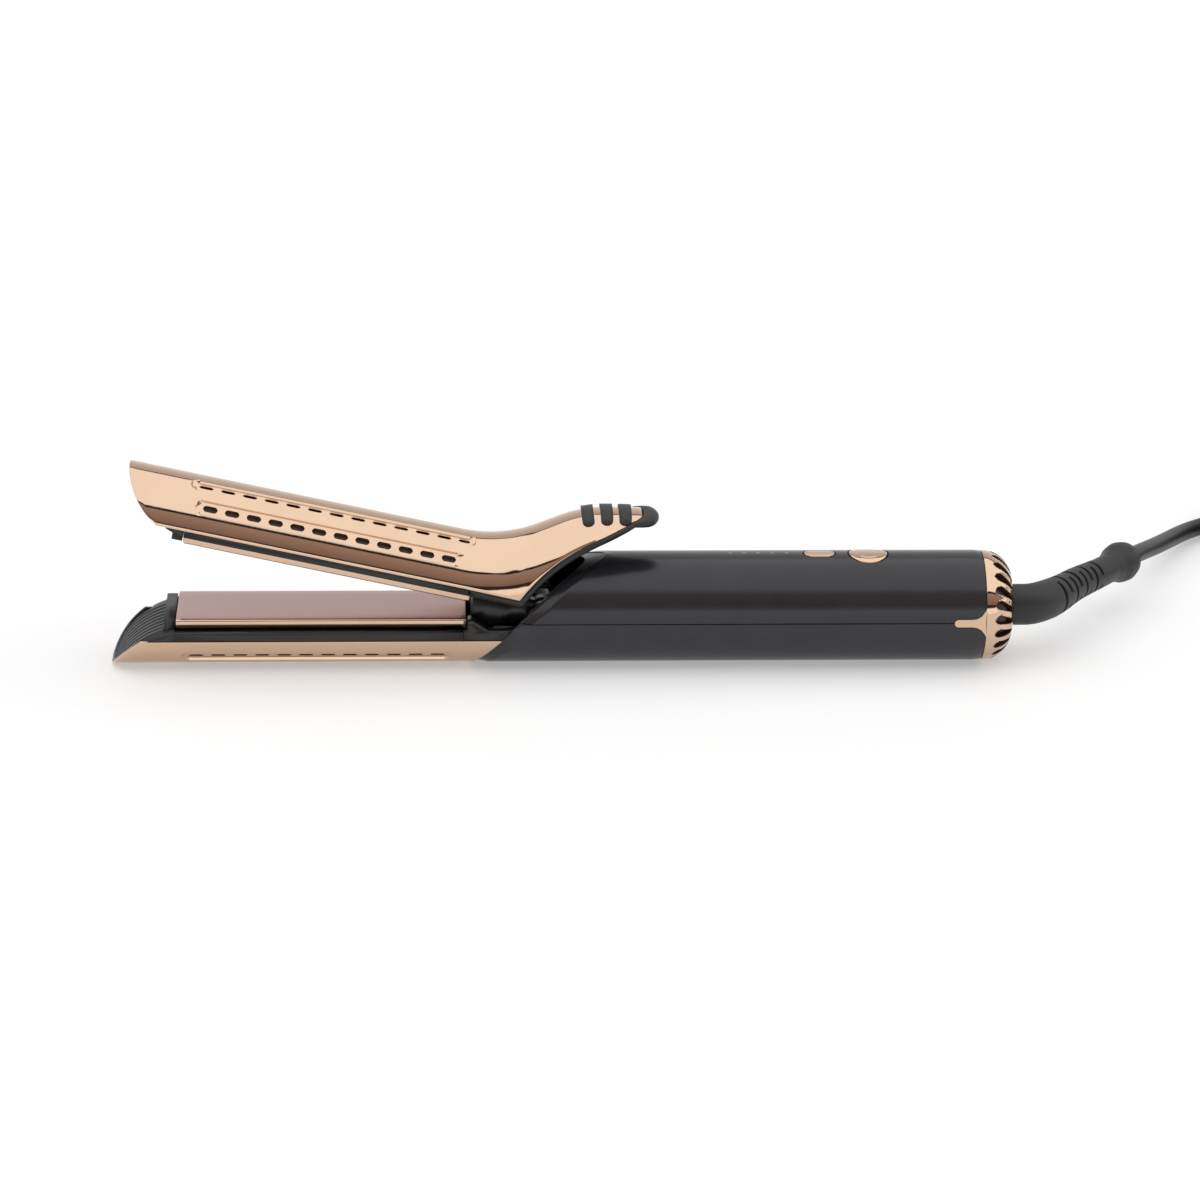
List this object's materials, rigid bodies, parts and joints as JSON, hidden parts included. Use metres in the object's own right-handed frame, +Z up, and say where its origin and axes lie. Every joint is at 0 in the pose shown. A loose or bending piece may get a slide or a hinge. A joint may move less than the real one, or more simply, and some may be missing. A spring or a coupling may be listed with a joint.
{
  "type": "flat iron",
  "caption": "Airflow flat iron: round handle with a fixed vented arm, a hinged vented arm with a thumb lever, floating heated plates, vented rear cap, mains cord and plug.",
  "frame": {"origin": "under the middle of the body without its cord, on the surface it rests on", "axes": "+Z up, +X along the body from the arms' tips to the mains cord, so -Y is the near side"},
  "size_m": [0.5419, 0.1938, 0.0748],
  "materials": {
    "rose_gold_metal": "mirror-bright rose gold metallised plastic",
    "handle_soft_black": "soft-touch satin black",
    "black_plastic": "fine satin moulded",
    "plate_coating": "satin pink ceramic coating",
    "steel": "zinc plated",
    "pin_metal": "nickel plated",
    "rubber_black": "matt rubber",
    "cord_black": "smooth flexible PVC",
    "plug_black": "moulded PVC",
    "ceramic": "unglazed ceramic",
    "silicone_red": "silicone",
    "board_green": "solder mask",
    "component_grey": "moulded",
    "light_pipe": "frosted clear",
    "wire_black": "PVC",
    "filter_grey": "perforated",
    "duct_grey": "moulded",
    "button_metal": "rose gold"
  },
  "bodies": {
    "handle": {"handle_upper_shell": "handle_soft_black", "handle_lower_shell": "handle_soft_black", "rear_vent_cap": "rose_gold_metal", "intake_filter": "filter_grey", "fan_shroud": "black_plastic", "fan_motor": "steel", "air_duct": "duct_grey", "control_board": "board_green", "board_components": "component_grey", "status_light_pipes": "light_pipe", "tact_switches": "component_grey", "wiring_harness": "wire_black", "cable_clamp": "black_plastic", "case_screws": "steel", "hinge_bracket": "black_plastic", "hinge_pin": "steel", "return_spring": "steel", "lower_arm_shell": "rose_gold_metal", "lower_arm_housing": "black_plastic", "lower_cool_tip": "black_plastic", "lower_plate_pads": "silicone_red", "thermal_fuses": "ceramic", "strain_relief": "cord_black", "cord_lead": "cord_black", "cord_coil": "cord_black", "cord_tail": "cord_black", "cord_tie": "cord_black", "plug_body": "plug_black", "plug_pins": "pin_metal"},
    "upper_arm": {"upper_arm_shell": "rose_gold_metal", "lever_shell": "rose_gold_metal", "upper_arm_housing": "black_plastic", "upper_cool_tip": "black_plastic", "upper_plate_pads": "silicone_red", "hinge_lug": "black_plastic", "lever_liner": "black_plastic", "lever_ribs": "rubber_black", "lever_tip_pad": "rubber_black", "lug_screws": "steel"},
    "lower_floating_plate": {"lower_plate": "plate_coating", "lower_heater": "ceramic"},
    "upper_floating_plate": {"upper_plate": "plate_coating", "upper_heater": "ceramic"},
    "power_button": {"power_button": "button_metal"},
    "mode_button": {"mode_button": "button_metal"},
    "fan": {"fan_rotor": "duct_grey"}
  },
  "joints": [
    {"name": "jaw_hinge", "type": "hinge", "parent": "handle", "child": "upper_arm", "pos_m": [-0.007, 0, 0.0206], "axis": [0, 1, 0], "range_deg": [-12.5, 0], "stiffness_Nm_per_rad": 0.3, "springref_deg": 34.38, "deforming": ["return_spring"]},
    {"name": "lower_plate_float", "type": "slide", "parent": "handle", "child": "lower_floating_plate", "axis": [0, 0, -1], "range_m": [0, 0.0008], "stiffness_N_per_m": 2500, "springref_m": -0.0008, "deforming": ["lower_plate_pads"]},
    {"name": "upper_plate_float", "type": "slide", "parent": "upper_arm", "child": "upper_floating_plate", "axis": [0.2164, 0, 0.9763], "range_m": [0, 0.0008], "stiffness_N_per_m": 2500, "springref_m": -0.0008, "deforming": ["upper_plate_pads"]},
    {"name": "power_button_push", "type": "slide", "parent": "handle", "child": "power_button", "axis": [0, 0, -1], "range_m": [0, 0.0006], "stiffness_N_per_m": 1200, "springref_m": -0.0004},
    {"name": "mode_button_push", "type": "slide", "parent": "handle", "child": "mode_button", "axis": [0, 0, -1], "range_m": [0, 0.0006], "stiffness_N_per_m": 1200, "springref_m": -0.0004},
    {"name": "fan_spin", "type": "hinge", "parent": "handle", "child": "fan", "pos_m": [0.126, 0, 0.0197], "axis": [1, 0, 0], "continuous": true}
  ]
}
